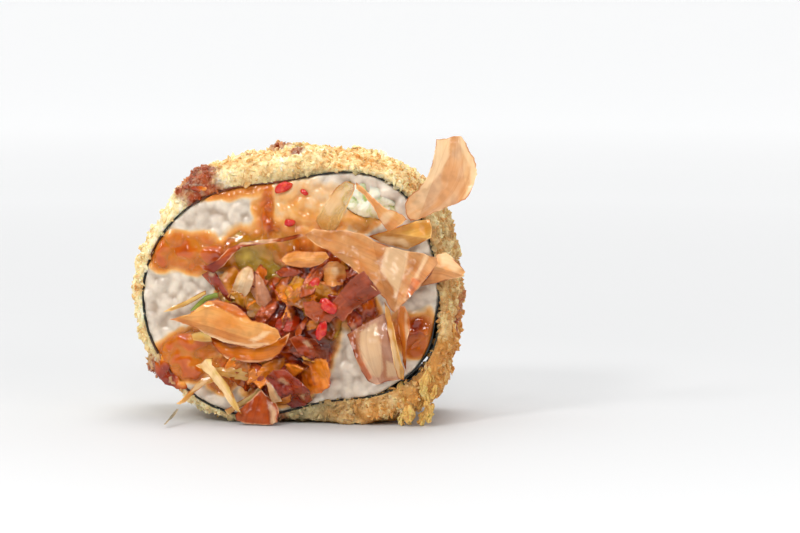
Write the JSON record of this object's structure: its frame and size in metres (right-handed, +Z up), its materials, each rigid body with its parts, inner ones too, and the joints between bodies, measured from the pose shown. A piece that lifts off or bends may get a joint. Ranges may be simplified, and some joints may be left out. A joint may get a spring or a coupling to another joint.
{
  "type": "tuna futomaki slice",
  "caption": "Thick slice of fried sushi roll in a panko crust, standing on its side, with bonito flakes and sauce on its cut face.",
  "frame": {"origin": "on the flat spot under the crust, midway between the two cut faces", "axes": "+X right across the shown cut face, -Y out of that face, +Z up"},
  "size_m": [0.0782, 0.0375, 0.064],
  "materials": {
    "crust": "fried breadcrumbs",
    "nori": "dark satin",
    "rice": "moist cooked rice",
    "avocado": "soft satin",
    "cucumber": "moist",
    "tuna": "cooked fish",
    "sauced_topping": "sticky amber glaze",
    "green_shred": "moist",
    "bonito": "thin satin shavings"
  },
  "bodies": {
    "root": {"panko_crust": "crust", "nori_sheet": "nori", "sushi_rice": "rice", "avocado_crescent": "avocado", "cucumber_wedge": "cucumber", "tuna_block": "tuna", "topping_heap": "sauced_topping", "green_shred": "green_shred", "bonito_tall_curl": "bonito", "bonito_arch_left": "bonito", "bonito_arch_right": "bonito", "bonito_fan": "bonito", "bonito_tab": "bonito", "bonito_fin": "bonito", "bonito_scoop": "bonito", "bonito_ribbon": "bonito", "bonito_spike": "bonito", "bonito_leaf": "bonito", "bonito_moon": "bonito", "bonito_sliver": "bonito", "bonito_blade": "bonito", "bonito_strip": "bonito", "bonito_hair": "bonito", "bonito_foot": "bonito", "bonito_twig": "bonito", "bonito_brow": "bonito"}
  },
  "joints": []
}
